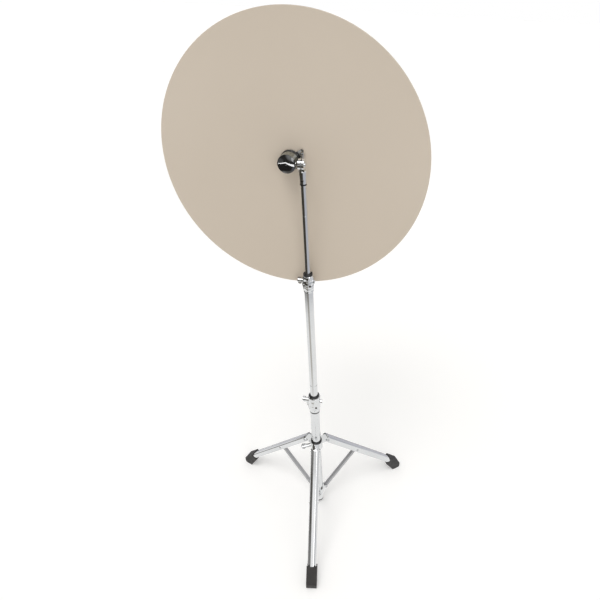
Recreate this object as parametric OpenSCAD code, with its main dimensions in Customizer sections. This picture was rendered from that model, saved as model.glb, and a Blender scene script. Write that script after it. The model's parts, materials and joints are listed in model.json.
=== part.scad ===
// Round acoustic shield on a telescopic folding tripod stand.
// Millimetres, +Z up. The origin is the centre of the base tube's lower end.
// The shield's front looks along -Y, and its tilt axis lies along X.

/* [Shield] */
// Diameter of the round shield
shield_d = 565; // [480:5:600]
// Thickness of the shield
shield_t = 4; // [3:0.5:6]
// Rounding of the shield's rim
rim_r = 0.8; // [0.4:0.1:1.2]
// How far the shield leans back from upright at rest, in degrees
lean = 7.7; // [3:0.1:10]
// Clearance between the shield's lower rim and the upper clamp
rim_gap = 3; // [2:0.5:8]
// Distance of the centre stud to the left of the pole
stud_side = 38.5; // [36:0.5:46]
// Distance of the centre stud below the tilt axis
stud_drop = 9.8; // [6:0.2:12]

/* [Centre stud and knob] */
// Diameter of the centre stud
stud_d = 8; // [6:1:10]
// Diameter of the stud's free end
tail_d = 7.2; // [5.2:0.1:9.2]
// Length of the stud's free end behind the lock nut
stud_tail = 11; // [8:1:20]
// Diameter of the knob at its rear
knob_d = 39.4; // [36:0.2:42]
// Diameter of the knob at its glossy cap
cap_d = 38.2; // [30:0.2:39]
// Length of the knob's body
knob_len = 19; // [16:1:24]
// Rise of the domed cap
cap_rise = 4.5; // [3:0.5:6]
// Length of the ribbed ring
ring_len = 8; // [6:1:10]
// Diameter over the ribs
ring_d = 41; // [36:0.5:43]
// Diameter of the two rubber washers
pad_d = 30; // [24:1:36]
// Thickness of each rubber washer
pad_t = 3; // [2:0.5:4]
// Outer diameter of the sleeve in the shield's hole
sleeve_d = 12; // [11:0.5:16]
// Width of the lock nut across its flats
nut_af = 13; // [12:0.5:16]
// Height of the lock nut
nut_h = 6.5; // [5:0.5:9]

/* [Tilter] */
// Radius of the two ratchet cheeks
cheek_r = 11; // [10:0.5:13]
// Thickness of the fixed cheek on the receiver
lug_t = 4.6; // [4:0.2:6]
// Thickness of the moving cheek
cheek_t = 5.5; // [4:0.5:7]
// Thickness of the flat arm that runs back from the moving cheek
arm_t = 4.5; // [3:0.5:6]
// Height of that arm
arm_h = 16; // [12:1:19]
// Number of ratchet teeth on each cheek
teeth = 24; // [16:4:32]
// Height of the ratchet teeth
tooth_h = 0.9; // [0.6:0.1:1.1]
// Diameter of the tilt bolt
tilt_bolt_d = 6; // [5:0.5:8]
// Diameter of the round plate behind the knob
plate_d = 42.4; // [41:0.2:50]
// Thickness of that plate
plate_t = 4; // [3:0.5:5]
// Diameter of the receiver
receiver_d = 17; // [16:0.5:20]
// Length of the receiver's round body
receiver_len = 28; // [22:1:34]
// Diameter of the ear on the plate
ear_d = 7.4; // [7:0.2:10]
// Height of the ear's eye above the tilt axis
ear_h = 10.6; // [9:0.2:14]
// Distance of the ear's eye to the left of the pole
ear_side = 14.8; // [12:0.2:16]
// Diameter of the ear's eye
eye_d = 3.4; // [2.4:0.2:5]

/* [Pole] */
// Height of the tilt axis above the base tube's lower end
tilt_h = 1115.5; // [1100:0.5:1180]
// Outer diameter of the base tube
base_d = 25; // [25:0.5:26]
// Outer diameter of the middle tube
middle_d = 20; // [19:0.5:20]
// Outer diameter of the upper tube
upper_d = 12; // [11:0.5:12.5]
// Wall of the base and middle tubes
tube_wall = 1.5; // [1:0.1:1.5]
// Wall of the upper tube
upper_wall = 1.2; // [1:0.1:2]
// Height of the base clamp's foot
base_clamp_h = 402; // [385:1:420]
// Length of the base clamp
base_clamp_len = 59; // [54:1:70]
// Height of the black band at the base clamp's foot
base_band_h = 5; // [4:1:10]
// Height of the upper clamp's foot
upper_clamp_h = 807; // [780:1:810]
// Length of the upper clamp
upper_clamp_len = 45; // [42:1:54]
// Length of the middle tube inside the base tube
middle_insert = 200; // [180:10:230]
// Length of the upper tube inside the middle tube
upper_insert = 230; // [215:5:260]
// Running clearance of every sliding or turning fit, on the radius
fit = 0.06; // [0.03:0.01:0.08]

/* [Tripod] */
// Turn of the tripod about the pole, in degrees
tripod_turn = 9.6; // [0:0.1:20]
// Depth of the feet below the base tube's lower end
foot_drop = 8; // [5:1:12]
// Reach of the feet from the pole's axis
foot_reach = 281.5; // [268:0.5:300]
// Height of the leg hinges
leg_hinge_h = 270.5; // [262:0.5:276]
// Distance of the leg hinges from the pole's axis
leg_hinge_r = 32; // [31:0.5:34]
// Slope of the legs below level, in degrees
leg_slope = 47.2; // [46:0.1:49]
// Width of the leg channels
leg_w = 24.5; // [22:0.5:26]
// Depth of the leg channels
leg_depth = 13.5; // [12:0.5:18]
// Depth of the hinge line below the top face of a leg
leg_top = 6.8; // [6:0.1:9]
// Wall of the leg channels
leg_wall = 1.5; // [1.2:0.1:2]
// Corner radius of the leg channels
leg_corner = 3.5; // [2.5:0.5:5]
// Distance along a leg from its hinge to its strut pin
strut_place = 139; // [132:1:144]
// Height of the strut hinges on the hub
hub_hinge_h = 50; // [48:1:54]
// Distance of the strut hinges from the pole's axis
hub_hinge_r = 22.5; // [22:0.5:24]
// Width of the struts
strut_w = 9; // [8:0.5:12]
// Depth of the struts
strut_depth = 8; // [7.5:0.5:9]
// Diameter of the strut pins
pin_d = 4; // [3:0.5:4.5]
// Length of the rubber feet measured along the leg
foot_len = 50; // [44:2:70]
// Length of the foot's sole on the floor
sole_len = 24; // [18:1:28]
// Thickness of the rubber round the leg
foot_wall = 1.8; // [1.2:0.2:3]

/* [Hidden] */

$fn = 96;
eps = 0.01;
chrome = [0.80, 0.81, 0.84];
black = [0.06, 0.06, 0.06];
greige = [0.80, 0.75, 0.69];

// Turns of the three legs about the pole: front, right, left
front_turn = -90 + tripod_turn;
right_turn = 30 + tripod_turn;
left_turn = 150 + tripod_turn;

// Stack on the centre stud, as distances in front of the shield's front face
touch = 0.1;                                // gap between pieces that turn on each other
plate_a = touch + pad_t;                    // rear face of the bracket's plate
ring_a = plate_a + plate_t + touch;         // rear face of the ribbed ring
knob_a = ring_a + ring_len;                 // rear face of the knob's body
cap_a = knob_a + knob_len;                  // rear face of the cap
stud_front = cap_a - 2;                     // front end of the stud, inside the knob
rear_pad_a = -shield_t - touch;             // front face of the rear pad
washer_a = rear_pad_a - pad_t;              // front face of the rear steel washer
washer_t = 1.6;
nut_a = washer_a - washer_t;                // front face of the lock nut
stud_rear = nut_a - nut_h - stud_tail;      // rear end of the stud
stud_r = stud_d / 2;

// The shield's lower rim clears the upper clamp by rim_gap, whatever its size and lean
shield_drop = stud_drop + shield_d / 2;
shield_gap = (middle_d / 2 + 2.5 + rim_gap) / cos(lean) + shield_drop * tan(lean);

// Tilter
cheek_gap = 2 * tooth_h + 0.6;              // distance between the two cheeks' faces
lug_x = 0.5;                                // inner face of the fixed cheek
arm_x = lug_x - cheek_gap;                  // inner face of the moving cheek
cheek_out = arm_x - cheek_t;                // outer face of the moving cheek
arm_low = -arm_h / 2 - 0.5;                 // lower edge of the arm
arm_high = arm_h / 2 - 0.5;                 // upper edge of the arm at the cheek
eye_h = ear_h - 2.8;                        // height of the ear's eye
bolt_r = tilt_bolt_d / 2;
bolt_head_r = bolt_r + 2.4;
bolt_head_t = 2.2;
receiver_r = receiver_d / 2;
receiver_top = tilt_h - cheek_r - 1;        // top of the receiver's round body
receiver_foot = receiver_top - receiver_len;
receiver_ring_h = 3.5;
receiver_low_r = receiver_r - 1.3;          // the receiver tapers to this at its foot
tube_top = receiver_top - 5;                // top of the upper tube in the receiver

// Pole
base_r = base_d / 2;
middle_r = middle_d / 2;
upper_r = upper_d / 2;
plug_h = 6;
flange_h = 3.5;                             // height of a clamp bush's black flange
base_clamp_top = base_clamp_h + base_clamp_len;
upper_clamp_top = upper_clamp_h + upper_clamp_len;
base_tube_top = base_clamp_top - 30;
middle_tube_top = upper_clamp_top - 28;
middle_tube_foot = base_tube_top - middle_insert;
upper_tube_foot = middle_tube_top - upper_insert;
groove_w = 2.4;
groove_d = 0.4;
wing_bolt_r = 3;

// Leg collar
collar_foot = leg_hinge_h - 19;
collar_top = leg_hinge_h + 7;
collar_bolt_h = collar_foot + 9.5;
collar_bush_r = base_r + 1.2;
collar_r = collar_bush_r + 3.6;
tongue_w = leg_w - 2 * leg_wall - 3;
tongue_r = leg_top - leg_wall - 0.3;
pin_r = pin_d / 2;
collar_wing_turn = front_turn - 75;

// Legs, feet and struts, all in the plane of one leg
function on_leg_r(u, w) = leg_hinge_r + u * cos(leg_slope) + w * sin(leg_slope);
function on_leg_h(u, w) = leg_hinge_h - u * sin(leg_slope) + w * cos(leg_slope);
strut_top_r = on_leg_r(strut_place, 0);
strut_top_h = on_leg_h(strut_place, 0);
strut_run = strut_top_r - hub_hinge_r;
strut_rise = strut_top_h - hub_hinge_h;
strut_len = sqrt(strut_run * strut_run + strut_rise * strut_rise);
strut_slope = atan2(strut_rise, strut_run);
leg_low = leg_top - leg_depth;              // lower edge of the channel on the hinge line
foot_top = leg_top + foot_wall;
foot_low = leg_low - foot_wall;
nose_r = 7;
foot_end = (foot_reach - leg_hinge_r - foot_top * sin(leg_slope)) / cos(leg_slope);
foot_start = foot_end - foot_len;
leg_len = foot_end - 20;
hub_r = 16.5;
ear_t = 3;
ear_gap = 0.3;

// ---------- shared shapes ----------

module tube(outer_r, inner_r, h) {
  difference() {
    cylinder(r = outer_r, h = h);
    translate([0, 0, -eps]) cylinder(r = inner_r, h = h + 2 * eps);
  }
}

// A closed slot shape: two round ends of radius r, a length len apart along X
module stadium(len, r) {
  circle(r = r);
  translate([len, 0]) circle(r = r);
  translate([0, -r]) square([len, 2 * r]);
}

// Wing bolt along +X. Its tip is at x = 0; its head and wings start at x = reach.
module wing_bolt(reach, head_len, span, wing_w) {
  head_r = wing_bolt_r + 1.8;
  rotate([0, 90, 0]) {
    cylinder(r = wing_bolt_r, h = reach + eps);
    translate([0, 0, reach]) cylinder(r = head_r, h = head_len - 1);
    translate([0, 0, reach + head_len - 1]) cylinder(r1 = head_r, r2 = head_r - 1, h = 1);
  }
  for (side = [-1, 1])
    translate([reach + wing_w / 2, 0, 0])
      rotate([90, 0, 0])
        linear_extrude(height = 2.6, center = true)
          difference() {
            union() {
              translate([0, side * (span / 2 - wing_w / 2)]) circle(d = wing_w);
              polygon([[-wing_w / 2, 0], [head_len - wing_w / 2 - 0.5, 0],
                       [wing_w / 2, side * (span / 2 - wing_w / 2)],
                       [-wing_w / 2, side * (span / 2 - wing_w / 2)]]);
            }
            translate([0, side * (span / 2 - wing_w / 2)]) circle(d = wing_w * 0.36);
          }
}

// Screw with a slotted round head, along +X, with its head from x = 0 to head_t
module slotted_screw(shank_r, shank_len, head_r, head_t) {
  difference() {
    rotate([0, 90, 0]) {
      translate([0, 0, -shank_len]) cylinder(r = shank_r, h = shank_len + eps);
      cylinder(r = head_r, h = head_t * 0.6);
      translate([0, 0, head_t * 0.6]) cylinder(r1 = head_r, r2 = head_r * 0.75, h = head_t * 0.4);
    }
    translate([head_t * 0.5, -head_r, -0.5]) cube([head_t, 2 * head_r, 1]);
  }
}

// Puts children into the frame of the tilt axis, with the shield's lean
module on_tilt() {
  translate([0, 0, tilt_h]) rotate([-lean, 0, 0]) children();
}

// Puts children onto the centre stud: their +Z runs forward from the shield's front face
module on_stud() {
  on_tilt() translate([-stud_side, shield_gap, -stud_drop]) rotate([90, 0, 0]) children();
}

// Puts children into a leg's frame: +X runs down the leg from its hinge
module on_leg(turn) {
  rotate([0, 0, turn]) translate([leg_hinge_r, 0, leg_hinge_h]) rotate([0, leg_slope, 0]) children();
}

// Puts children into a strut's frame: +X runs up the strut from the hub
module on_strut(turn) {
  rotate([0, 0, turn]) translate([hub_hinge_r, 0, hub_hinge_h]) rotate([0, -strut_slope, 0]) children();
}

module along_y(w) {
  rotate([90, 0, 0]) linear_extrude(height = w, center = true) children();
}

// ---------- shield and the pieces on its stud ----------

module shield_disc() {
  r = shield_d / 2;
  color(greige)
    on_stud()
      difference() {
        translate([0, 0, -shield_t])
          rotate_extrude($fn = 240) {
            translate([0, 0]) square([r - rim_r, shield_t]);
            translate([0, rim_r]) square([r, shield_t - 2 * rim_r]);
            for (h = [rim_r, shield_t - rim_r])
              translate([r - rim_r, h]) circle(r = rim_r, $fn = 24);
          }
        translate([0, 0, -shield_t - 1]) cylinder(d = sleeve_d, h = shield_t + 2);
      }
}

module disc_sleeve() {
  color("whitesmoke")
    on_stud() translate([0, 0, -shield_t]) tube(sleeve_d / 2, stud_r + fit, shield_t);
}

module front_pad() {
  color(black) on_stud() translate([0, 0, touch]) tube(pad_d / 2, stud_r, pad_t);
}

module rear_pad() {
  color(black) on_stud() translate([0, 0, washer_a]) tube(pad_d / 2, stud_r, pad_t);
}

module rear_washer() {
  color(chrome) on_stud() translate([0, 0, nut_a]) tube(pad_d / 2 - 3, stud_r, washer_t);
}

module lock_nut() {
  af_r = nut_af / 2;
  color(chrome)
    on_stud()
      translate([0, 0, nut_a - nut_h])
        difference() {
          union() {
            translate([0, 0, 1.5]) cylinder(r = af_r / cos(30), h = nut_h - 1.5, $fn = 6);
            cylinder(r = af_r - 0.6, h = 1.6);
          }
          translate([0, 0, -1]) cylinder(r = stud_r, h = nut_h + 2);
        }
}

module centre_stud() {
  color(chrome)
    on_stud() {
      translate([0, 0, nut_a - nut_h]) cylinder(r = stud_r, h = stud_front - 1 - nut_a + nut_h);
      translate([0, 0, stud_rear + 1]) cylinder(d = tail_d, h = stud_tail - 1 + eps);
      translate([0, 0, stud_rear]) cylinder(r1 = tail_d / 2 - 0.8, r2 = tail_d / 2, h = 1 + eps);
      translate([0, 0, stud_front - 1]) cylinder(r1 = stud_r, r2 = stud_r - 0.8, h = 1);
    }
}

module knob_ring() {
  rib_count = 3;
  pitch = ring_len / rib_count;
  color(black)
    on_stud()
      translate([0, 0, ring_a])
        difference() {
          union() {
            cylinder(r = ring_d / 2 - 1.2, h = ring_len);
            for (k = [0 : rib_count - 1])
              translate([0, 0, (k + 0.5) * pitch])
                rotate_extrude()
                  intersection() {
                    translate([ring_d / 2 - 1.2, 0]) circle(r = 1.2, $fn = 24);
                    translate([0, -pitch / 2]) square([ring_d, pitch]);
                  }
          }
          translate([0, 0, -1]) cylinder(r = stud_r + fit, h = ring_len + 2);
        }
}

module knob_body() {
  color([0.24, 0.24, 0.20])
    on_stud()
      translate([0, 0, knob_a])
        difference() {
          union() {
            cylinder(r = knob_d / 2, h = 3);
            translate([0, 0, 3]) cylinder(r1 = knob_d / 2, r2 = cap_d / 2 + 0.2, h = knob_len - 3);
          }
          translate([0, 0, -1]) cylinder(r = stud_r + fit, h = knob_len);
        }
}

module knob_cap() {
  r = cap_d / 2;
  dome_r = (r * r + cap_rise * cap_rise) / (2 * cap_rise);
  color(black)
    on_stud()
      translate([0, 0, cap_a]) {
        intersection() {
          translate([0, 0, cap_rise + 1 - dome_r]) sphere(r = dome_r, $fn = 192);
          cylinder(r = r, h = cap_rise + 2);
        }
      }
}

// ---------- tilter ----------

// Ring of radial ratchet teeth that stand up along +X from x = 0
module ratchet_teeth() {
  inner_r = bolt_r + 2;
  length = cheek_r - inner_r - 0.4;
  half_w = inner_r * sin(180 / teeth) * 0.9;
  for (k = [0 : teeth - 1])
    rotate([k * 360 / teeth, 0, 0])
      translate([0, 0, inner_r])
        linear_extrude(height = length)
          polygon([[-0.2, -half_w], [0, -half_w], [tooth_h, 0], [0, half_w], [-0.2, half_w]]);
}

// Arm seen from above: straight past the nut, then slanting to the left as far as the plate
module arm_plan(plate_y) {
  polygon([[cheek_out + 0.3, 0], [cheek_out + 0.3, 9], [-ear_side - arm_t / 2, plate_y - 1],
           [-ear_side + arm_t / 2, plate_y - 1], [cheek_out + arm_t, 9], [cheek_out + arm_t, 0]]);
}

// Plate seen from the front: a disc behind the knob that runs out into the ear
module plate_outline() {
  disc_r = plate_d / 2;
  translate([-stud_side, -stud_drop]) circle(r = disc_r);
  translate([-ear_side, ear_h]) circle(d = ear_d);
  polygon([[-ear_side + ear_d / 2, ear_h], [-ear_side + ear_d / 2, arm_low],
           [-stud_side + disc_r * cos(50), -stud_drop - disc_r * sin(50)],
           [-stud_side, -stud_drop],
           [-stud_side + disc_r * cos(55), -stud_drop + disc_r * sin(55)],
           [-ear_side - ear_d / 2 * sin(20), ear_h + ear_d / 2 * cos(20)]]);
}

module tilt_bracket() {
  plate_y = shield_gap - plate_a;           // rear face of the plate
  color(chrome)
    on_tilt()
      difference() {
        union() {
          translate([cheek_out, 0, 0]) rotate([0, 90, 0]) cylinder(r = cheek_r, h = cheek_t);
          translate([arm_x, 0, 0]) ratchet_teeth();
          intersection() {
            translate([0, 0, -50]) linear_extrude(height = 100) arm_plan(plate_y);
            translate([-60, 0, 0]) rotate([90, 0, 90]) linear_extrude(height = 70)
              polygon([[0, arm_low], [plate_y, arm_low], [plate_y, eye_h - eye_d / 2 - 1.5],
                       [0, arm_high]]);
          }
          translate([0, plate_y, 0]) rotate([90, 0, 0]) linear_extrude(height = plate_t)
            plate_outline();
        }
        translate([-ear_side, plate_y, eye_h]) rotate([90, 0, 0])
          cylinder(d = eye_d, h = 30, center = true);
        rotate([0, 90, 0]) cylinder(r = bolt_r + fit, h = 40, center = true);
        translate([-stud_side, shield_gap, -stud_drop]) rotate([90, 0, 0])
          cylinder(r = stud_r, h = 30, center = true);
      }
}

module receiver() {
  color(chrome)
    difference() {
      union() {
        translate([0, 0, receiver_foot])
          cylinder(r1 = receiver_low_r, r2 = receiver_r, h = receiver_len - 2);
        translate([0, 0, receiver_top - 2])
          cylinder(r1 = receiver_r, r2 = receiver_r - 1.5, h = 2);
        translate([lug_x, 0, tilt_h])
          rotate([90, 0, 90])
            linear_extrude(height = lug_t) {
              circle(r = cheek_r);
              translate([-7, -cheek_r - 3]) square([14, cheek_r]);
            }
        translate([lug_x, 0, tilt_h]) rotate([0, 0, 180]) ratchet_teeth();
      }
      translate([0, 0, receiver_foot - 1]) cylinder(r = upper_r + fit, h = tube_top + 1 - receiver_foot + 1);
      translate([0, 0, tilt_h]) rotate([0, 90, 0]) cylinder(r = bolt_r, h = 40, center = true);
      translate([0, 0, receiver_foot + 8]) rotate([90, 0, 0]) cylinder(r = 2, h = 20);
    }
}

module receiver_ring() {
  color(black)
    translate([0, 0, receiver_foot - receiver_ring_h])
      tube(receiver_low_r - 0.3, upper_r + fit, receiver_ring_h);
}

module receiver_screw() {
  seat_r = receiver_low_r + 0.6;
  color([0.25, 0.22, 0.2])
    translate([0, -seat_r, receiver_foot + 8])
      rotate([0, 0, -90]) slotted_screw(2, seat_r - upper_r - 0.3, 3, 1.4);
}

module tilt_bolt() {
  tail = cheek_out - 6;
  color(chrome)
    translate([lug_x + lug_t, 0, tilt_h])
      slotted_screw(bolt_r, lug_x + lug_t - tail, bolt_head_r, bolt_head_t);
}

module tilt_nut() {
  color(chrome)
    translate([cheek_out - touch, 0, tilt_h])
      rotate([0, -90, 0])
        difference() {
          union() {
            cylinder(r = 5.6, h = 0.8);
            cylinder(r = 5.4, h = 4.4, $fn = 6);
          }
          translate([0, 0, -1]) cylinder(r = bolt_r, h = 7);
        }
}

// ---------- pole ----------

// Tube with a shallow marking groove round it
module grooved_tube(r, wall, foot, top, groove_h) {
  difference() {
    translate([0, 0, foot]) tube(r, r - wall, top - foot);
    translate([0, 0, groove_h]) tube(r + 1, r - groove_d, groove_w);
  }
}

module upper_tube() {
  color(chrome)
    grooved_tube(upper_r, upper_wall, upper_tube_foot, tube_top, (receiver_foot + upper_clamp_top) / 2 + 38);
}

module middle_tube() {
  color(chrome)
    grooved_tube(middle_r, tube_wall, middle_tube_foot, middle_tube_top, base_clamp_top + 42);
}

module base_tube() {
  color(chrome) translate([0, 0, plug_h]) tube(base_r, base_r - tube_wall, base_tube_top - plug_h);
}

screw_turn = -60;                           // the slotted screws of both clamps face front right

// Cast clamp: seated on a lower tube of radius low_r, guiding an upper tube of radius high_r.
// A web of thickness web_t runs from its foot out to the end of the wing bolt's boss.
module clamp_body(foot, top, low_r, high_r, seat_top, body_r, foot_r, bolt_h, boss_reach, web_t,
                  screw_h) {
  bolt_turn = wing_side;
  difference() {
    union() {
      translate([0, 0, foot]) cylinder(r = foot_r, h = 5);
      translate([0, 0, foot + 5]) cylinder(r1 = foot_r, r2 = body_r, h = 12);
      translate([0, 0, foot + 17]) cylinder(r = body_r, h = top - foot - 19);
      rotate([0, 0, bolt_turn]) along_y(web_t)
        polygon([[0, foot + 2], [foot_r, foot + 2], [boss_reach - 0.5, bolt_h - 4],
                 [boss_reach - 0.5, bolt_h], [0, bolt_h]]);
      translate([0, 0, top - 2]) cylinder(r1 = body_r, r2 = body_r - 1, h = 2);
      rotate([0, 0, bolt_turn]) translate([0, 0, bolt_h]) rotate([0, 90, 0])
        cylinder(r = wing_bolt_r + 2.4, h = boss_reach);
      rotate([0, 0, bolt_turn + 180]) translate([0, 0, bolt_h]) rotate([0, 90, 0])
        cylinder(r = wing_bolt_r + 1.6, h = boss_reach - 0.4);
    }
    translate([0, 0, foot - 1]) cylinder(r = low_r, h = seat_top - foot + 1);
    translate([0, 0, foot]) cylinder(r = high_r, h = top - foot + 1);
    rotate([0, 0, bolt_turn]) translate([0, 0, bolt_h]) rotate([0, 90, 0])
      cylinder(r = wing_bolt_r + fit, h = boss_reach + 5);
    rotate([0, 0, screw_turn]) translate([0, 0, screw_h]) rotate([0, 90, 0])
      cylinder(r = 1.8, h = body_r + 5);
  }
}

// Nylon bush in a clamp, with a black flange on top
module clamp_bush(top, seat_top, outer_r, inner_r, flange_r, bolt_h, bolt_turn) {
  difference() {
    union() {
      translate([0, 0, seat_top]) cylinder(r = outer_r, h = top - seat_top + eps);
      translate([0, 0, top]) cylinder(r = flange_r, h = flange_h - 1);
      translate([0, 0, top + flange_h - 1]) cylinder(r1 = flange_r, r2 = flange_r - 0.8, h = 1);
    }
    translate([0, 0, seat_top - 1]) cylinder(r = inner_r + fit, h = top - seat_top + flange_h + 2);
    rotate([0, 0, bolt_turn]) translate([0, 0, bolt_h]) rotate([0, 90, 0])
      cylinder(r = wing_bolt_r + 0.3, h = outer_r + 5);
  }
}

// Upper clamp: middle tube below, upper tube above
upper_body_r = middle_r + 2.5;
upper_bush_r = upper_r + 1.8;
upper_bolt_h = upper_clamp_top - 18;
wing_side = 180;                            // the wing bolts of both clamps point to the left

module upper_clamp() {
  color(chrome)
    clamp_body(upper_clamp_h, upper_clamp_top, middle_r, upper_bush_r, middle_tube_top,
               upper_body_r, middle_r + 1.4, upper_bolt_h, upper_body_r + 2.4, 5,
               upper_clamp_h + 20);
}

module upper_clamp_bush() {
  color(black)
    clamp_bush(upper_clamp_top, middle_tube_top, upper_bush_r, upper_r, upper_body_r - 2,
               upper_bolt_h, wing_side);
}

module upper_clamp_wing() {
  color(chrome)
    rotate([0, 0, wing_side]) translate([upper_r + 0.4, 0, upper_bolt_h])
      wing_bolt(upper_body_r + 2.8 - upper_r - 0.4, 9, 19, 8.5);
}

module upper_clamp_screw() {
  color(black)
    rotate([0, 0, screw_turn]) translate([upper_body_r, 0, upper_clamp_h + 20])
      slotted_screw(1.8, upper_body_r - middle_r, 2.6, 1.2);
}

// Base clamp: base tube below, middle tube above
base_body_r = base_r + 3.5;
base_bush_r = middle_r + 2;
base_bolt_h = base_clamp_top - 19;
base_boss = base_body_r + 6;                // reach of the boss for the base clamp's wing bolt

module base_clamp() {
  color(chrome)
    clamp_body(base_clamp_h + base_band_h, base_clamp_top, base_r, base_bush_r, base_tube_top,
               base_body_r, base_r + 1.8, base_bolt_h, base_boss, 9,
               base_clamp_h + 26);
}

module base_clamp_ring() {
  color(black) translate([0, 0, base_clamp_h]) tube(base_r + 1.1, base_r, base_band_h);
}

module base_clamp_bush() {
  color(black)
    clamp_bush(base_clamp_top, base_tube_top, base_bush_r, middle_r, base_bush_r + 1.4,
               base_bolt_h, wing_side);
}

module base_clamp_wing() {
  color(chrome)
    rotate([0, 0, wing_side]) translate([middle_r + 0.4, 0, base_bolt_h])
      wing_bolt(base_boss + 0.4 - middle_r - 0.4, 9.5, 20, 9);
}

module base_clamp_screw() {
  color(black)
    rotate([0, 0, screw_turn]) translate([base_body_r, 0, base_clamp_h + 26])
      slotted_screw(1.8, base_body_r - base_r, 2.8, 1.2);
}

// ---------- tripod ----------

module leg_collar() {
  bolt_h = collar_bolt_h;
  color(chrome)
    difference() {
      union() {
        translate([0, 0, collar_foot]) cylinder(r = collar_r, h = collar_top - collar_foot);
        for (turn = [front_turn, right_turn, left_turn])
          rotate([0, 0, turn]) translate([leg_hinge_r, 0, leg_hinge_h])
            along_y(tongue_w) {
              circle(r = tongue_r);
              translate([-leg_hinge_r + base_r + 1, -tongue_r])
                square([leg_hinge_r - base_r - 1, 2 * tongue_r]);
            }
        rotate([0, 0, collar_wing_turn]) translate([0, 0, bolt_h]) rotate([0, 90, 0])
          cylinder(r = wing_bolt_r + 2.4, h = collar_r + 13);
      }
      translate([0, 0, collar_foot - 1]) cylinder(r = collar_bush_r, h = collar_top - collar_foot + 2);
      rotate([0, 0, collar_wing_turn]) translate([0, 0, bolt_h]) rotate([0, 90, 0])
        cylinder(r = wing_bolt_r + fit, h = collar_r + 17);
      for (turn = [front_turn, right_turn, left_turn])
        rotate([0, 0, turn]) translate([leg_hinge_r, 0, leg_hinge_h])
          rotate([90, 0, 0]) cylinder(r = pin_r, h = leg_w + 4, center = true);
    }
}

module collar_bush() {
  color(black)
    difference() {
      union() {
        translate([0, 0, collar_foot]) cylinder(r = collar_bush_r, h = collar_top - collar_foot + eps);
        translate([0, 0, collar_top]) cylinder(r = collar_bush_r + 1.6, h = 2.5);
      }
      translate([0, 0, collar_foot - 1])
        cylinder(r = base_r + fit, h = collar_top - collar_foot + 5);
      rotate([0, 0, collar_wing_turn]) translate([0, 0, collar_bolt_h]) rotate([0, 90, 0])
        cylinder(r = wing_bolt_r + 0.3, h = collar_r);
    }
}

module collar_wing() {
  color(chrome)
    rotate([0, 0, collar_wing_turn]) translate([base_r + 0.4, 0, collar_bolt_h])
      wing_bolt(collar_r + 13.4 - base_r - 0.4, 13, 22, 11);
}

// Pivot pin across a leg, with a rounded head at each end
module headed_pin(r, head_r, w) {
  rotate([90, 0, 0]) {
    cylinder(r = r, h = w + 2, center = true);
    for (side = [-1, 1])
      rotate([90 - 90 * side, 0, 0]) translate([0, 0, w / 2]) {
        cylinder(r = head_r, h = 0.8);
        translate([0, 0, 0.8]) cylinder(r1 = head_r, r2 = head_r * 0.6, h = 0.8);
      }
  }
}

module leg_pins() {
  color(chrome)
    for (turn = [front_turn, right_turn, left_turn])
      rotate([0, 0, turn]) translate([leg_hinge_r, 0, leg_hinge_h])
        headed_pin(pin_r, 4.4, leg_w + 0.2);
}

// Outline of the leg channel across the leg; grow makes it larger or smaller all round
module channel_outline(grow) {
  r = leg_corner + grow;
  w = leg_w / 2 + grow;
  translate([-w, leg_low - grow]) square([2 * w, leg_depth + 2 * grow - r]);
  translate([-w + r, leg_low - grow]) square([2 * (w - r), leg_depth + 2 * grow]);
  for (side = [-1, 1]) translate([side * (w - r), leg_top + grow - r]) circle(r = r);
}

module leg_channel() {
  mid = (leg_top + leg_low) / 2;
  difference() {
    intersection() {
      translate([-leg_depth, 0, 0]) rotate([90, 0, 90]) linear_extrude(height = leg_len + leg_depth)
        difference() {
          channel_outline(0);
          channel_outline(-leg_wall);
          translate([-leg_w / 2 + leg_wall, leg_low - 1]) square([leg_w - 2 * leg_wall, leg_depth / 2]);
        }
      along_y(leg_w + 2) {
        translate([0, mid]) circle(r = leg_depth / 2);
        translate([0, leg_low]) square([leg_len, leg_depth]);
      }
    }
    rotate([90, 0, 0]) cylinder(r = pin_r + fit, h = leg_w + 4, center = true);
    translate([strut_place, 0, 0]) rotate([90, 0, 0]) cylinder(r = pin_r, h = leg_w + 4, center = true);
  }
}

module leg(turn) {
  color(chrome) on_leg(turn) leg_channel();
}

module leg_front() { leg(front_turn); }
module leg_right() { leg(right_turn); }
module leg_left() { leg(left_turn); }

// Side view of a foot: a boot on the sloping leg, with a flat sole and a round nose
module foot_outline() {
  floor_h = -foot_drop;
  mouth = foot_start - 20;
  nose_u = (foot_reach - nose_r - on_leg_r(0, foot_top - nose_r)) / cos(leg_slope);
  nose = [on_leg_r(nose_u, foot_top - nose_r), on_leg_h(nose_u, foot_top - nose_r)];
  translate(nose) circle(r = nose_r);
  translate([foot_reach - nose_r, floor_h + nose_r]) circle(r = nose_r);
  polygon([[on_leg_r(mouth, foot_top), on_leg_h(mouth, foot_top)],
           [on_leg_r(mouth, foot_low), on_leg_h(mouth, foot_low)],
           [foot_reach - sole_len, floor_h], [foot_reach - nose_r, floor_h],
           [foot_reach, floor_h + nose_r], [foot_reach, nose[1]],
           nose + nose_r * [sin(leg_slope), cos(leg_slope)]]);
}

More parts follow.
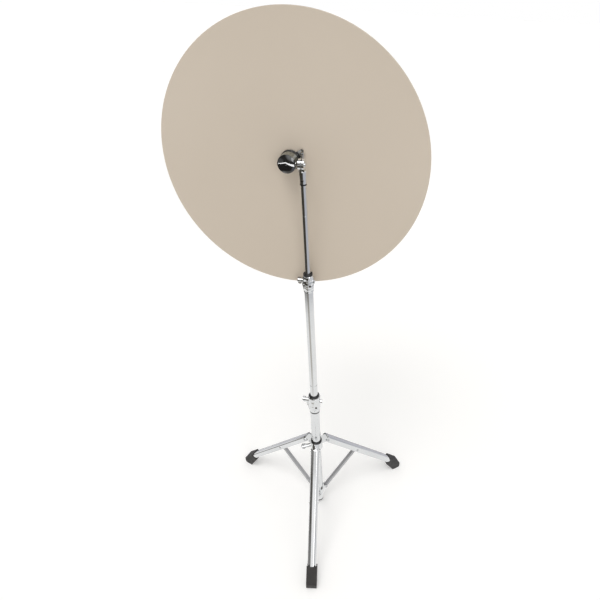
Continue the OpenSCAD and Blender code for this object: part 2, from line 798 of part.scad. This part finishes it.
module foot(turn) {
  color([0.22, 0.21, 0.21])
    rotate([0, 0, turn])
      difference() {
        along_y(leg_w + 2 * foot_wall) foot_outline();
        translate([leg_hinge_r, 0, leg_hinge_h]) rotate([0, leg_slope, 0]) {
          translate([foot_start - 1, 0, 0]) rotate([90, 0, 90])
            linear_extrude(height = leg_len - foot_start + 1) channel_outline(0);
          translate([foot_start - 50, -40, -40]) cube([50, 80, 80]);
          // scooped mouth, above and at both sides
          translate([foot_start - 22, 0, -40]) cylinder(r = 24.5, h = 80);
          translate([foot_start, 0, 0]) rotate([90, 0, 0]) cylinder(r = 6, h = 80, center = true);
        }
      }
}

module foot_front() { foot(front_turn); }
module foot_right() { foot(right_turn); }
module foot_left() { foot(left_turn); }

// Two rivets, one in each wall of a leg; they end beside the strut, which stays free
module strut_pin(turn) {
  inner = strut_w / 2 + ear_gap;
  color(chrome)
    on_leg(turn) translate([strut_place, 0, 0])
      difference() {
        headed_pin(pin_r, 4, leg_w);
        cube([20, 2 * inner, 20], center = true);
      }
}

module strut_pin_front() { strut_pin(front_turn); }
module strut_pin_right() { strut_pin(right_turn); }
module strut_pin_left() { strut_pin(left_turn); }

// Pressed strut: an eye at each end and a channel that is open below between them
module strut(turn) {
  r = strut_depth / 2;
  color(chrome)
    on_strut(turn)
      difference() {
        along_y(strut_w) stadium(strut_len, r);
        translate([r + 3, -strut_w / 2 + 1.5, -r - 1])
          cube([strut_len - 2 * r - 6, strut_w - 3, 2 * r - 0.5]);
        for (x = [0, strut_len])
          translate([x, 0, 0]) rotate([90, 0, 0])
            cylinder(r = pin_r + fit, h = strut_w + 2, center = true);
      }
}

module strut_front() { strut(front_turn); }
module strut_right() { strut(right_turn); }
module strut_left() { strut(left_turn); }

module hub() {
  ear_in = strut_w / 2 + ear_gap;
  ear_r = strut_depth / 2 + 0.6;
  color(chrome)
    difference() {
      union() {
        translate([0, 0, hub_hinge_h - 9]) cylinder(r = hub_r, h = 18);
        for (turn = [front_turn, right_turn, left_turn])
          rotate([0, 0, turn])
            for (side = [-1, 1])
              translate([0, side * (ear_in + ear_t / 2), hub_hinge_h])
                along_y(ear_t) {
                  translate([hub_hinge_r, 0]) circle(r = ear_r);
                  translate([base_r - 1, -ear_r]) square([hub_hinge_r - base_r + 1, 2 * ear_r]);
                }
      }
      translate([0, 0, hub_hinge_h - 20]) cylinder(r = base_r, h = 40);
      for (turn = [front_turn, right_turn, left_turn])
        rotate([0, 0, turn]) translate([hub_hinge_r, 0, hub_hinge_h]) rotate([90, 0, 0])
          cylinder(r = pin_r, h = 40, center = true);
    }
}

module hub_pins() {
  pin_w = strut_w + 2 * ear_gap + 2 * ear_t;
  color(chrome)
    for (turn = [front_turn, right_turn, left_turn])
      rotate([0, 0, turn]) translate([hub_hinge_r, 0, hub_hinge_h]) headed_pin(pin_r, 3.8, pin_w);
}

module tube_plug() {
  color(black) {
    cylinder(r1 = base_r - 1, r2 = base_r, h = 1);
    translate([0, 0, 1]) cylinder(r = base_r, h = plug_h - 1);
    translate([0, 0, plug_h - eps]) cylinder(r = base_r - tube_wall, h = 16);
  }
}

shield_disc();
disc_sleeve();
front_pad();
rear_pad();
rear_washer();
lock_nut();
centre_stud();
tilt_bracket();
knob_ring();
knob_body();
knob_cap();
receiver();
receiver_ring();
receiver_screw();
tilt_bolt();
tilt_nut();
upper_tube();
middle_tube();
base_tube();
upper_clamp();
upper_clamp_bush();
upper_clamp_wing();
upper_clamp_screw();
base_clamp();
base_clamp_ring();
base_clamp_bush();
base_clamp_wing();
base_clamp_screw();
leg_collar();
collar_bush();
collar_wing();
leg_pins();
leg_front();
leg_right();
leg_left();
foot_front();
foot_right();
foot_left();
strut_pin_front();
strut_pin_right();
strut_pin_left();
strut_front();
strut_right();
strut_left();
hub();
hub_pins();
tube_plug();
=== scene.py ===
"""Looks and stage of a round acoustic shield on a telescopic tripod stand.

All visible shapes are the CAD's own. This script gives every node its material and sets
up the floor, the world, the lamps and the camera. Lengths are in metres.
"""
import json
from math import cos, radians, sin

import bpy
from mathutils import Matrix, Vector


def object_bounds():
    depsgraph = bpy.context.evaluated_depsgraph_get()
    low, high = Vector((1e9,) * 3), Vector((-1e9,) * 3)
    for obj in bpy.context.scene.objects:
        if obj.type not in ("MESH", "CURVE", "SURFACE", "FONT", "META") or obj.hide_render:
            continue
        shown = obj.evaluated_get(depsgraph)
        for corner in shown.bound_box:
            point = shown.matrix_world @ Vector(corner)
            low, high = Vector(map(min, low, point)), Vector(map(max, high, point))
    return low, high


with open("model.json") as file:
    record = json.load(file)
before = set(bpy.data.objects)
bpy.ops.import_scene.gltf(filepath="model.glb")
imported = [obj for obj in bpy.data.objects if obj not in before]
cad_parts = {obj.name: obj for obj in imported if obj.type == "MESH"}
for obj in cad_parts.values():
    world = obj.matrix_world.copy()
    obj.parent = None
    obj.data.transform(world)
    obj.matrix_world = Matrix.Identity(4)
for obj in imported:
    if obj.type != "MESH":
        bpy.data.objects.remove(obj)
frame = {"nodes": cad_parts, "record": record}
nodes = frame["nodes"]
cad_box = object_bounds()

# Places in the CAD that a material follows. Each hinge or rivet is given by its distance
# from the pole's axis and its z, in the plane of any leg. The floor is 8 mm below z = 0.
LEG_TURNS = {"front": -80.4, "right": 39.6, "left": 159.6}  # degrees round the pole
LEG_SLOPE = radians(47.2)
LEG_HINGE = (0.032, 0.2705)
HUB_HINGE = (0.0225, 0.050)
RIVET_DOWN_LEG = 0.139
STRUT_RIVET = (
    LEG_HINGE[0] + RIVET_DOWN_LEG * cos(LEG_SLOPE),
    LEG_HINGE[1] - RIVET_DOWN_LEG * sin(LEG_SLOPE),
)
KNOB_CENTRE = (-0.0385, -0.005, 1.106)

# ---------- shader helpers ----------

MOTTLE = (0.3, 0.7)  # the part of a noise's range that tone and roughness follow


def put(tree, value, socket):
    """Link an output to the socket, or give it a plain value."""
    if isinstance(value, bpy.types.NodeSocket):
        tree.links.new(value, socket)
    else:
        socket.default_value = value


def coords(tree):
    return tree.nodes.new("ShaderNodeTexCoord").outputs["Object"]


def noise(tree, scale, detail, rough=0.5):
    n = tree.nodes.new("ShaderNodeTexNoise")
    n.inputs["Scale"].default_value = scale
    n.inputs["Detail"].default_value = detail
    n.inputs["Roughness"].default_value = rough
    tree.links.new(coords(tree), n.inputs["Vector"])
    return n.outputs["Fac"]


def ramp(tree, fac, low, high, a=0.0, b=1.0, kind="LINEAR"):
    """a to b as fac goes from low to high."""
    n = tree.nodes.new("ShaderNodeMapRange")
    n.interpolation_type = kind
    n.inputs["From Min"].default_value = low
    n.inputs["From Max"].default_value = high
    n.inputs["To Min"].default_value = a
    n.inputs["To Max"].default_value = b
    tree.links.new(fac, n.inputs["Value"])
    return n.outputs["Result"]


def smooth(tree, fac, low, high):
    return ramp(tree, fac, low, high, kind="SMOOTHSTEP")


def two_tone(tree, fac, dark, light):
    n = tree.nodes.new("ShaderNodeValToRGB")
    for stop, place, color in zip(n.color_ramp.elements, MOTTLE, (dark, light)):
        stop.position = place
        stop.color = (*color, 1)
    tree.links.new(fac, n.inputs["Fac"])
    return n.outputs["Color"]


def bump(tree, bsdf, height, strength, distance):
    n = tree.nodes.new("ShaderNodeBump")
    n.inputs["Strength"].default_value = strength
    n.inputs["Distance"].default_value = distance
    tree.links.new(height, n.inputs["Height"])
    tree.links.new(n.outputs["Normal"], bsdf.inputs["Normal"])
    return n


def calc(tree, kind, *values):
    n = tree.nodes.new("ShaderNodeMath")
    n.operation = kind
    for value, socket in zip(values, n.inputs):
        put(tree, value, socket)
    return n.outputs[0]


def vector_math(tree, kind, *values):
    n = tree.nodes.new("ShaderNodeVectorMath")
    n.operation = kind
    for value, socket in zip(values, n.inputs):
        put(tree, value, socket)
    return n.outputs["Value" if kind in ("DOT_PRODUCT", "LENGTH") else "Vector"]


def along(tree, vector, direction):
    return vector_math(tree, "DOT_PRODUCT", vector, direction)


def toward(tree, vector, direction, low, high):
    """0 to 1 as the vector's share along the direction goes from low to high."""
    return smooth(tree, along(tree, vector, direction), low, high)


def mix_color(tree, fac, first, second):
    n = tree.nodes.new("ShaderNodeMix")
    n.data_type = "RGBA"
    tree.links.new(fac, n.inputs[0])
    for color, socket in ((first, n.inputs[6]), (second, n.inputs[7])):
        put(tree, (*color, 1) if isinstance(color, tuple) else color, socket)
    return n.outputs[2]


def mix_shader(tree, fac, first, second):
    n = tree.nodes.new("ShaderNodeMixShader")
    for output, socket in zip((fac, first, second), n.inputs):
        tree.links.new(output, socket)
    return n.outputs[0]


def new_material(name):
    mat = bpy.data.materials.new(name)
    mat.use_nodes = True
    return mat, mat.node_tree, mat.node_tree.nodes["Principled BSDF"]


def empty_material(name):
    mat, tree, _ = new_material(name)
    tree.nodes.clear()
    return mat, tree, tree.nodes.new("ShaderNodeOutputMaterial")


# ---------- materials ----------


def surface(name, tone, rough, relief=None, metallic=0.0):
    """Material with mottled tone and roughness, and a fine relief if it has one.

    Each of the three starts with the scale and detail of its noise. Then tone has its
    dark and light, rough its low and high, and relief its strength and distance.
    """
    mat, tree, bsdf = new_material(name)
    bsdf.inputs["Metallic"].default_value = metallic
    scale, detail, dark, light = tone
    tone = two_tone(tree, noise(tree, scale, detail), dark, light)
    tree.links.new(tone, bsdf.inputs["Base Color"])
    scale, detail, low, high = rough
    rough = ramp(tree, noise(tree, scale, detail), *MOTTLE, low, high)
    tree.links.new(rough, bsdf.inputs["Roughness"])
    if relief:
        scale, detail, strength, distance = relief
        bump(tree, bsdf, noise(tree, scale, detail), strength, distance)
    return mat


def rubber_material(name, dark, light, low, high, grain):
    tone, rough = (45.0, 5.0, dark, light), (120.0, 4.0, low, high)
    return surface(name, tone, rough, (grain, 3.0, 0.25, 0.0003))


def plastic_material(name, dark, light, low, high):
    tone, rough = (35.0, 3.0, dark, light), (200.0, 3.0, low, high)
    return surface(name, tone, rough, (700.0, 2.0, 0.08, 0.0002))


def gloss_material():
    """Black gloss for the knob's cap, with a high index so that it mirrors brightly."""
    mat = surface(
        "knob_gloss",
        (30.0, 2.0, (0.008, 0.008, 0.009), (0.014, 0.014, 0.014)),
        (80.0, 3.0, 0.04, 0.09),
    )
    mat.node_tree.nodes["Principled BSDF"].inputs["IOR"].default_value = 2.1
    return mat


def chrome_material(name):
    """Bright plating. Its tree and the node of its relief come with it."""
    mat, tree, bsdf = new_material(name)
    bsdf.inputs["Metallic"].default_value = 1.0
    tone = two_tone(tree, noise(tree, 9.0, 3.0), (0.74, 0.75, 0.76), (0.83, 0.835, 0.84))
    tree.links.new(tone, bsdf.inputs["Base Color"])
    rough = ramp(tree, noise(tree, 60.0, 5.0, 0.6), 0.3, 0.75, 0.07, 0.16)
    tree.links.new(rough, bsdf.inputs["Roughness"])
    return mat, tree, bump(tree, bsdf, noise(tree, 150.0, 2.0), 0.03, 0.0003)


def cast_material():
    """Plating over a casting, whose uneven surface breaks the reflections up."""
    mat, tree, relief = chrome_material("cast_chrome")
    tree.links.new(noise(tree, 95.0, 2.0, 0.45), relief.inputs["Height"])
    relief.inputs["Strength"].default_value = 0.70
    relief.inputs["Distance"].default_value = 0.0035
    return mat


def leg_material(name, turn):
    """Chrome that rolls over along both sides of a leg that points at turn degrees."""
    # From the leg's middle line: flat up to the first distance, full lean from the second
    roll = (0.0030, 0.0070)
    full_lean = 0.80
    mat, tree, relief = chrome_material(name)
    across = (-sin(radians(turn)), cos(radians(turn)), 0.0)
    side = along(tree, coords(tree), across)
    plus = smooth(tree, side, *roll)
    minus = smooth(tree, calc(tree, "MULTIPLY", side, -1.0), *roll)
    lean = calc(tree, "MULTIPLY", calc(tree, "SUBTRACT", plus, minus), full_lean)
    # The lean is in the leg's own axes, and the normal in the world's
    turned = tree.nodes.new("ShaderNodeVectorTransform")
    turned.vector_type = "VECTOR"
    turned.convert_from = "OBJECT"
    turned.convert_to = "WORLD"
    tree.links.new(vector_math(tree, "MULTIPLY", lean, across), turned.inputs[0])
    flat = tree.nodes.new("ShaderNodeNewGeometry").outputs["Normal"]
    rolled = vector_math(tree, "ADD", flat, turned.outputs[0])
    tree.links.new(vector_math(tree, "NORMALIZE", rolled), relief.inputs["Normal"])
    return mat


def rivet_material(name, place):
    """Chrome with painted shade standing for a rivet's hollow, at the place in the plane
    of each leg.
    """
    # From the rivet's axis: painted shade of the hollow up to the first distance, chrome
    # from the second
    hollow = (0.0012, 0.0017)
    mat, tree, _ = chrome_material(name)
    bsdf = tree.nodes["Principled BSDF"]
    spot = coords(tree)
    up = calc(tree, "SUBTRACT", along(tree, spot, (0.0, 0.0, 1.0)), place[1])
    nearest = None
    for turn in LEG_TURNS.values():
        outward = (cos(radians(turn)), sin(radians(turn)), 0.0)
        out = calc(tree, "SUBTRACT", along(tree, spot, outward), place[0])
        squares = [calc(tree, "MULTIPLY", part, part) for part in (out, up)]
        gap = calc(tree, "SQRT", calc(tree, "ADD", *squares))
        nearest = gap if nearest is None else calc(tree, "MINIMUM", nearest, gap)
    outside_painted_shade = smooth(tree, nearest, *hollow)
    # Painted shade: near black inside the rivet's hollow, chrome round it
    tone = mix_color(tree, outside_painted_shade, (0.05, 0.048, 0.045), (0.78, 0.785, 0.79))
    tree.links.new(tone, bsdf.inputs["Base Color"])
    tree.links.new(ramp(tree, outside_painted_shade, 0.0, 1.0, 0.6, 0.12), bsdf.inputs["Roughness"])
    return mat


# One look for each material slot of the record
looks = {
    "chrome": chrome_material("chrome_plate")[0],
    "shield_satin": surface(
        "shield_satin",
        (1.8, 2.0, (0.63, 0.545, 0.445), (0.665, 0.58, 0.48)),
        (500.0, 3.0, 0.34, 0.42),
        (900.0, 2.0, 0.06, 0.0002),
    ),
    "pad_rubber": rubber_material(
        "pad_rubber", (0.012, 0.012, 0.012), (0.025, 0.024, 0.023), 0.5, 0.7, 600.0
    ),
    "ring_rubber": rubber_material(
        "ring_rubber", (0.010, 0.010, 0.010), (0.022, 0.021, 0.020), 0.35, 0.55, 500.0
    ),
    "foot_rubber": rubber_material(
        "foot_rubber", (0.020, 0.018, 0.017), (0.034, 0.031, 0.029), 0.45, 0.65, 400.0
    ),
    "knob_barrel": plastic_material(
        "knob_barrel", (0.150, 0.145, 0.115), (0.190, 0.185, 0.150), 0.22, 0.32
    ),
    "knob_gloss": gloss_material(),
    "black_nylon": plastic_material(
        "black_nylon", (0.010, 0.010, 0.011), (0.02, 0.02, 0.021), 0.3, 0.45
    ),
    "white_plastic": plastic_material(
        "white_plastic", (0.70, 0.70, 0.68), (0.78, 0.78, 0.76), 0.35, 0.45
    ),
    "dark_steel": surface(
        "dark_steel",
        (80.0, 3.0, (0.07, 0.06, 0.055), (0.13, 0.115, 0.1)),
        (150.0, 3.0, 0.25, 0.4),
        metallic=1.0,
    ),
}

# Pieces that look different from the others of their slot
zinc = surface(
    "strut_zinc",
    (25.0, 4.0, (0.44, 0.44, 0.45), (0.54, 0.54, 0.55)),
    (90.0, 4.0, 0.30, 0.42),
    metallic=0.45,
)
strut_rivet = rivet_material("strut_rivet_chrome", STRUT_RIVET)
special = {
    "leg_pins": rivet_material("leg_pin_chrome", LEG_HINGE),
    "hub_pins": rivet_material("hub_pin_chrome", HUB_HINGE),
}
special["upper_clamp"] = special["base_clamp"] = cast_material()
for leg, turn in LEG_TURNS.items():
    special["leg_" + leg] = leg_material("leg_chrome_" + leg, turn)
    special["strut_" + leg] = zinc
    special["strut_pin_" + leg] = strut_rivet

slot_of = {s["node"]: s["material_slot"] for s in frame["record"]["subparts"]}
for name, obj in nodes.items():
    mat = special.get(name, looks[slot_of[name]])
    if not obj.material_slots:
        obj.data.materials.append(mat)
    for slot in obj.material_slots:
        slot.material = mat

# ---------- stage ----------


def add_object(name, data):
    obj = bpy.data.objects.new(name, data)
    bpy.context.scene.collection.objects.link(obj)
    return obj


def add_mesh(name, corners, faces, mat):
    mesh = bpy.data.meshes.new(name)
    mesh.from_pydata(corners, [], faces)
    mesh.materials.append(mat)
    return add_object(name, mesh)


def floor_material():
    """White to the camera, with the shadows kept.

    Metal sees a white sheet round the stand instead, with a darker room beyond it.
    """
    mat, tree, out = empty_material("floor_white")
    path = tree.nodes.new("ShaderNodeLightPath")
    geometry = tree.nodes.new("ShaderNodeNewGeometry")
    flat = vector_math(tree, "MULTIPLY", geometry.outputs["Position"], (1.0, 1.0, 0.0))
    reach = vector_math(tree, "LENGTH", flat)
    seen_from = geometry.outputs["Incoming"]

    # The sheet, with a duller band in front
    heading = vector_math(tree, "NORMALIZE", flat)
    ahead = toward(tree, heading, (-0.21, -0.98, 0.0), 0.87, 0.98)
    band = calc(tree, "MULTIPLY", ahead, smooth(tree, reach, 0.36, 0.62))
    sheet = mix_color(tree, band, (0.92, 0.92, 0.91), (0.52, 0.50, 0.46))
    # Rays that come in low meet it grey from the front, and dark from the back right
    shallow = toward(tree, seen_from, (0.0, 0.0, -1.0), -0.66, -0.50)
    from_front = toward(tree, seen_from, (0.0, -1.0, 0.0), 0.50, 0.72)
    from_right = toward(tree, seen_from, (1.0, 0.0, 0.0), 0.55, 0.80)
    from_back = toward(tree, seen_from, (0.0, 1.0, 0.0), -0.15, 0.10)
    grey = calc(tree, "MULTIPLY", from_front, shallow)
    dark = calc(tree, "MULTIPLY", calc(tree, "MULTIPLY", from_right, from_back), shallow)
    sheet = mix_color(tree, grey, sheet, (0.58, 0.58, 0.62))
    sheet = mix_color(tree, dark, sheet, (0.24, 0.235, 0.23))
    # The room beyond it, darker to the left
    leftward = toward(tree, flat, (-0.90, -0.42, 0.0), 0.10, 0.55)
    room = mix_color(tree, leftward, (0.50, 0.51, 0.55), (0.050, 0.045, 0.036))
    beyond = smooth(tree, reach, 0.85, 1.20)
    mirror = tree.nodes.new("ShaderNodeEmission")
    tree.links.new(mix_color(tree, beyond, sheet, room), mirror.inputs["Color"])

    diffuse = tree.nodes.new("ShaderNodeBsdfDiffuse")
    diffuse.inputs["Color"].default_value = (0.80, 0.79, 0.77, 1)
    lift = tree.nodes.new("ShaderNodeEmission")
    lift.inputs["Color"].default_value = (1, 1, 1, 1)
    lift.inputs["Strength"].default_value = 0.28
    lifted = tree.nodes.new("ShaderNodeAddShader")
    tree.links.new(diffuse.outputs[0], lifted.inputs[0])
    tree.links.new(lift.outputs[0], lifted.inputs[1])
    is_camera, is_glossy = path.outputs["Is Camera Ray"], path.outputs["Is Glossy Ray"]
    plain = mix_shader(tree, is_camera, diffuse.outputs[0], lifted.outputs[0])
    whole = mix_shader(tree, is_glossy, plain, mirror.outputs[0])
    tree.links.new(whole, out.inputs["Surface"])
    return mat


def build_world():
    """White to the camera, one plain level for matt surfaces, and for metal a dim room
    with bright places in it."""
    world = bpy.data.worlds.new("studio")
    bpy.context.scene.world = world
    world.use_nodes = True
    tree = world.node_tree
    tree.nodes.clear()
    out = tree.nodes.new("ShaderNodeOutputWorld")
    path = tree.nodes.new("ShaderNodeLightPath")
    way = tree.nodes.new("ShaderNodeTexCoord").outputs["Generated"]
    # Bright places high in front, high behind and to the right, and a grey one low left
    front = toward(tree, way, (0.30, -0.62, 0.72), 0.72, 0.90)
    behind = toward(tree, way, (-0.16, 0.77, 0.62), 0.72, 0.92)
    beside = toward(tree, way, (0.97, 0.10, 0.22), 0.75, 0.93)
    left = toward(tree, way, (-0.90, -0.43, 0.0), 0.75, 0.90)
    level_sight = toward(tree, way, (0.0, 0.0, -1.0), -0.35, -0.12)
    low_left = calc(tree, "MULTIPLY", left, level_sight)
    room = mix_color(tree, front, (0.085, 0.078, 0.062), (1.0, 1.0, 1.0))
    room = mix_color(tree, behind, room, (0.85, 0.85, 0.84))
    room = mix_color(tree, beside, room, (0.80, 0.80, 0.80))
    room = mix_color(tree, low_left, room, (0.33, 0.33, 0.32))
    level = mix_color(tree, path.outputs["Is Glossy Ray"], (0.62, 0.62, 0.62), room)
    color = mix_color(tree, path.outputs["Is Camera Ray"], level, (1.0, 1.0, 1.0))
    background = tree.nodes.new("ShaderNodeBackground")
    background.inputs["Strength"].default_value = 1.0
    tree.links.new(color, background.inputs["Color"])
    tree.links.new(background.outputs[0], out.inputs["Surface"])


def add_sun(name, way, strength, angle):
    data = bpy.data.lights.new(name, "SUN")
    data.energy = strength
    data.angle = angle
    obj = add_object(name, data)
    obj.rotation_euler = Vector(way).to_track_quat("-Z", "Y").to_euler()


def strip_material():
    """Full strength for the gloss of the knob's cap, and a soft white for all else.

    The place that a ray sets out from tells the two apart.
    """
    soft, full = 0.75, 7.5
    # Full up to the first distance from the knob's centre, and soft from the second
    knob_reach = (0.032, 0.042)
    mat, tree, out = empty_material("strip_light")
    glow = tree.nodes.new("ShaderNodeEmission")
    path = tree.nodes.new("ShaderNodeLightPath")
    geometry = tree.nodes.new("ShaderNodeNewGeometry")
    length, direction = path.outputs["Ray Length"], geometry.outputs["Incoming"]
    back = vector_math(tree, "MULTIPLY", length, direction)
    origin = vector_math(tree, "ADD", geometry.outputs["Position"], back)
    left_of_head = toward(tree, origin, (-1.0, 0.0, 0.0), 0.013, 0.018)
    from_knob = vector_math(tree, "SUBTRACT", origin, KNOB_CENTRE)
    off_knob = smooth(tree, vector_math(tree, "LENGTH", from_knob), *knob_reach)
    on_knob = calc(tree, "MULTIPLY", left_of_head, calc(tree, "SUBTRACT", 1.0, off_knob))
    tree.links.new(ramp(tree, on_knob, 0.0, 1.0, soft, full), glow.inputs["Strength"])
    tree.links.new(glow.outputs[0], out.inputs["Surface"])
    return mat


FLOOR_HALF = 6.0
floor_z = cad_box[0][2]
sides = ((-1, -1), (1, -1), (1, 1), (-1, 1))
floor = add_mesh(
    "floor",
    [(x * FLOOR_HALF, y * FLOOR_HALF, floor_z) for x, y in sides],
    [(0, 1, 2, 3)],
    floor_material(),
)

build_world()
# Name, direction of the light, strength, and angle across in radians for soft shadows
add_sun("key", (0.10, 0.35, -1.0), 0.95, 0.5)
add_sun("fill", (-0.5, 0.8, -0.35), 0.45, 0.6)

# A long strip of light in front of the stand, which only mirrors see. Each row of its
# edges is x, the lower z and the upper z.
STRIP_Y = -1.1
STRIP_EDGES = ((-2.3, 0.42, 0.52), (-0.40, 1.06, 1.17), (0.55, 0.62, 0.90))
strip = add_mesh(
    "strip",
    [(x, STRIP_Y, z) for x, *edges in STRIP_EDGES for z in edges],
    [(0, 2, 3, 1), (2, 4, 5, 3)],
    strip_material(),
)
strip.visible_camera = False
strip.visible_diffuse = False
strip.visible_shadow = False

# The camera is where the photograph was taken from
CAMERA_PLACE = (0.3061, -1.0310, 1.6340)
CAMERA_LOOK = (-0.1611, 0.7653, -0.6233)
CAMERA_RIGHT = (0.9786, 0.2060, 0.0)
camera = bpy.data.cameras.new("camera")
camera.sensor_width = 36.0
camera.lens = 36.0
camera.shift_x = -0.079
camera.clip_start = 0.05
look = Vector(CAMERA_LOOK).normalized()
up = Vector(CAMERA_RIGHT).normalized().cross(look).normalized()
right = look.cross(up).normalized()
turn = Matrix((right, up, -look)).transposed()
cam = add_object("camera", camera)
cam.matrix_world = Matrix.Translation(CAMERA_PLACE) @ turn.to_4x4()
bpy.context.scene.camera = cam
bpy.context.scene.view_settings.view_transform = "Standard"
